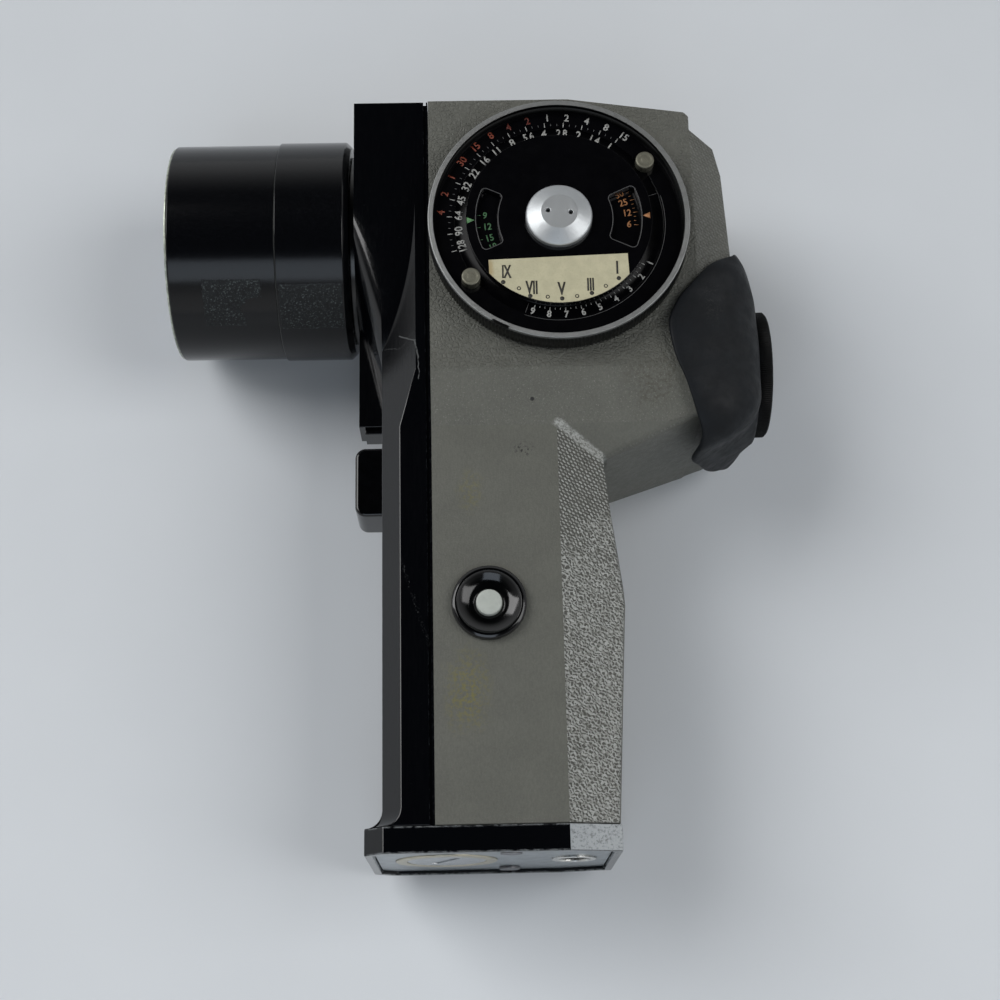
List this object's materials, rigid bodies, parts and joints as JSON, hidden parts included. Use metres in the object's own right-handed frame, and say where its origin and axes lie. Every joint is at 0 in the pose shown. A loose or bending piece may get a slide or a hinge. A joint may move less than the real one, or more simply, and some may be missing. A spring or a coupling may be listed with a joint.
{
  "type": "reflex spot light meter",
  "caption": "Pistol-grip spot light meter lying on its right side, with a lens barrel, exposure dial, trigger, check button, focusing eyepiece with a folded rubber eyecup, and a tripod bush.",
  "frame": {"origin": "centre of the part's footprint, on the surface that its right side rests on", "axes": "+X back along the lens axis towards the eyepiece, +Y from the grip's foot up to the head's top, +Z out of the dial"},
  "size_m": [0.1284, 0.1598, 0.0571],
  "materials": {
    "black_frame": "gloss black enamelled casting with worn edges",
    "cover_grey": "warm grey moulded leather grain, fine on the sides and coarse on the grip's rear",
    "screw_dark": "blackened steel screw",
    "foot_black": "gloss black with scuffed lower edges",
    "plate_metal": "satin aluminium with fine scratches",
    "collar_metal": "dull nickelled brass ring",
    "battery_cap": "brushed steel disc with a coin slot",
    "cell_metal": "bright steel button cell",
    "inner_black": "matt black inner part",
    "spring_steel": "spring steel wire",
    "bush_steel": "turned steel bush",
    "barrel_black": "fine satin black with a bluish speckle and rough worn patches",
    "rim_pale": "bare pale rim",
    "neck_satin": "satin light grey neck",
    "lens_glass": "coated optical glass",
    "mirror_silver": "silvered glass mirror",
    "screen_ground": "ground glass screen",
    "cell_gold": "gilt sensor can",
    "magnet_grey": "grey sintered magnet",
    "coil_copper": "varnished copper winding",
    "needle_red": "red painted pointer",
    "trigger_black": "gloss black moulded trigger",
    "switch_brown": "brown phenolic switch",
    "guard_black": "gloss black dished ring",
    "button_white": "off-white moulded button",
    "board_green": "lacquered fibre board",
    "component_blue": "moulded components",
    "dial_black": "matt black printed dial with white, red, green and orange numbers",
    "knurl_black": "black knurled metal",
    "bezel_silver": "satin silver bezel with chipped paint",
    "pin_nickel": "dull nickelled pin",
    "card_cream": "cream card with black numerals and dots",
    "hub_silver": "satin turned aluminium hub",
    "ring_black": "black ribbed focusing ring",
    "tube_black": "black anodised tube",
    "rubber_dark": "dull blue-black rubber with whitish bloom"
  },
  "bodies": {
    "body": {"front_frame": "black_frame", "left_cover": "cover_grey", "right_cover": "cover_grey", "cover_screws": "screw_dark", "base_foot": "foot_black", "base_plate": "plate_metal", "base_screws": "screw_dark", "battery_collar": "collar_metal", "battery_cells": "cell_metal", "battery_tube": "inner_black", "battery_spring": "spring_steel", "tripod_bush": "bush_steel", "lens_mount": "neck_satin", "barrel_rear": "barrel_black", "barrel_front": "barrel_black", "rim_ring": "rim_pale", "lens_retainer": "tube_black", "objective_front": "lens_glass", "objective_rear": "lens_glass", "mirror_box": "inner_black", "reflex_mirror": "mirror_silver", "eye_mirror": "mirror_silver", "focusing_screen": "screen_ground", "cell_holder": "inner_black", "photocell": "cell_gold", "movement_bracket": "bush_steel", "movement_magnet": "magnet_grey", "trigger_spring": "spring_steel", "trigger_switch": "switch_brown", "check_guard": "guard_black", "check_spring": "spring_steel", "check_switch": "spring_steel", "circuit_board": "board_green", "board_parts": "component_blue", "dial_base": "inner_black", "hub_nut": "hub_silver", "eyepiece_tube": "tube_black", "eyecup": "rubber_dark"},
    "trigger": {"trigger_button": "trigger_black"},
    "check": {"check_button": "button_white"},
    "battery_lid": {"battery_cover": "battery_cap"},
    "focus": {"focus_ring": "ring_black"},
    "ocular": {"ocular_cell": "tube_black", "ocular_lens": "lens_glass"},
    "meter": {"movement_coil": "coil_copper", "needle": "needle_red"},
    "dial_ring": {"film_speed_disc": "dial_black", "dial_knurled_ring": "knurl_black", "dial_bezel": "bezel_silver", "outer_scale_ring": "dial_black", "dial_pins": "pin_nickel"},
    "dial_disc": {"calculator_disc": "dial_black", "scale_card": "card_cream"}
  },
  "joints": [
    {"name": "trigger_press", "type": "slide", "parent": "body", "child": "trigger", "axis": [1, 0, 0], "range_m": [0, 0.0025], "stiffness_N_per_m": 600, "springref_m": -0.002, "deforming": ["trigger_spring"]},
    {"name": "check_press", "type": "slide", "parent": "body", "child": "check", "axis": [0, 0, -1], "range_m": [0, 0.0012], "stiffness_N_per_m": 500, "springref_m": -0.001, "deforming": ["check_spring"]},
    {"name": "battery_lid_turn", "type": "hinge", "parent": "body", "child": "battery_lid", "pos_m": [-0.00645, -0.07835, 0.02425], "axis": [0, -1, 0], "range_deg": [0, 90]},
    {"name": "focus_turn", "type": "hinge", "parent": "body", "child": "focus", "pos_m": [0.06195, 0.02445, 0.02425], "axis": [1, 0, 0], "range_deg": [-120, 120]},
    {"name": "ocular_slide", "type": "slide", "parent": "body", "child": "ocular", "axis": [1, 0, 0], "range_m": [-0.001, 0.001]},
    {"name": "needle_swing", "type": "hinge", "parent": "body", "child": "meter", "pos_m": [0.03415, 0.04185, 0.02425], "axis": [0, 1, 0], "range_deg": [-25, 25], "stiffness_Nm_per_rad": 0.0005},
    {"name": "dial_ring_turn", "type": "hinge", "parent": "body", "child": "dial_ring", "pos_m": [0.01895, 0.04835, 0.05325], "axis": [0, 0, 1], "continuous": true},
    {"name": "dial_disc_turn", "type": "hinge", "parent": "body", "child": "dial_disc", "pos_m": [0.01895, 0.04835, 0.05325], "axis": [0, 0, 1], "continuous": true}
  ],
  "couplings": [
    {"joint": "focus_turn", "follows": "ocular_slide", "rad_per_m": 2094}
  ]
}
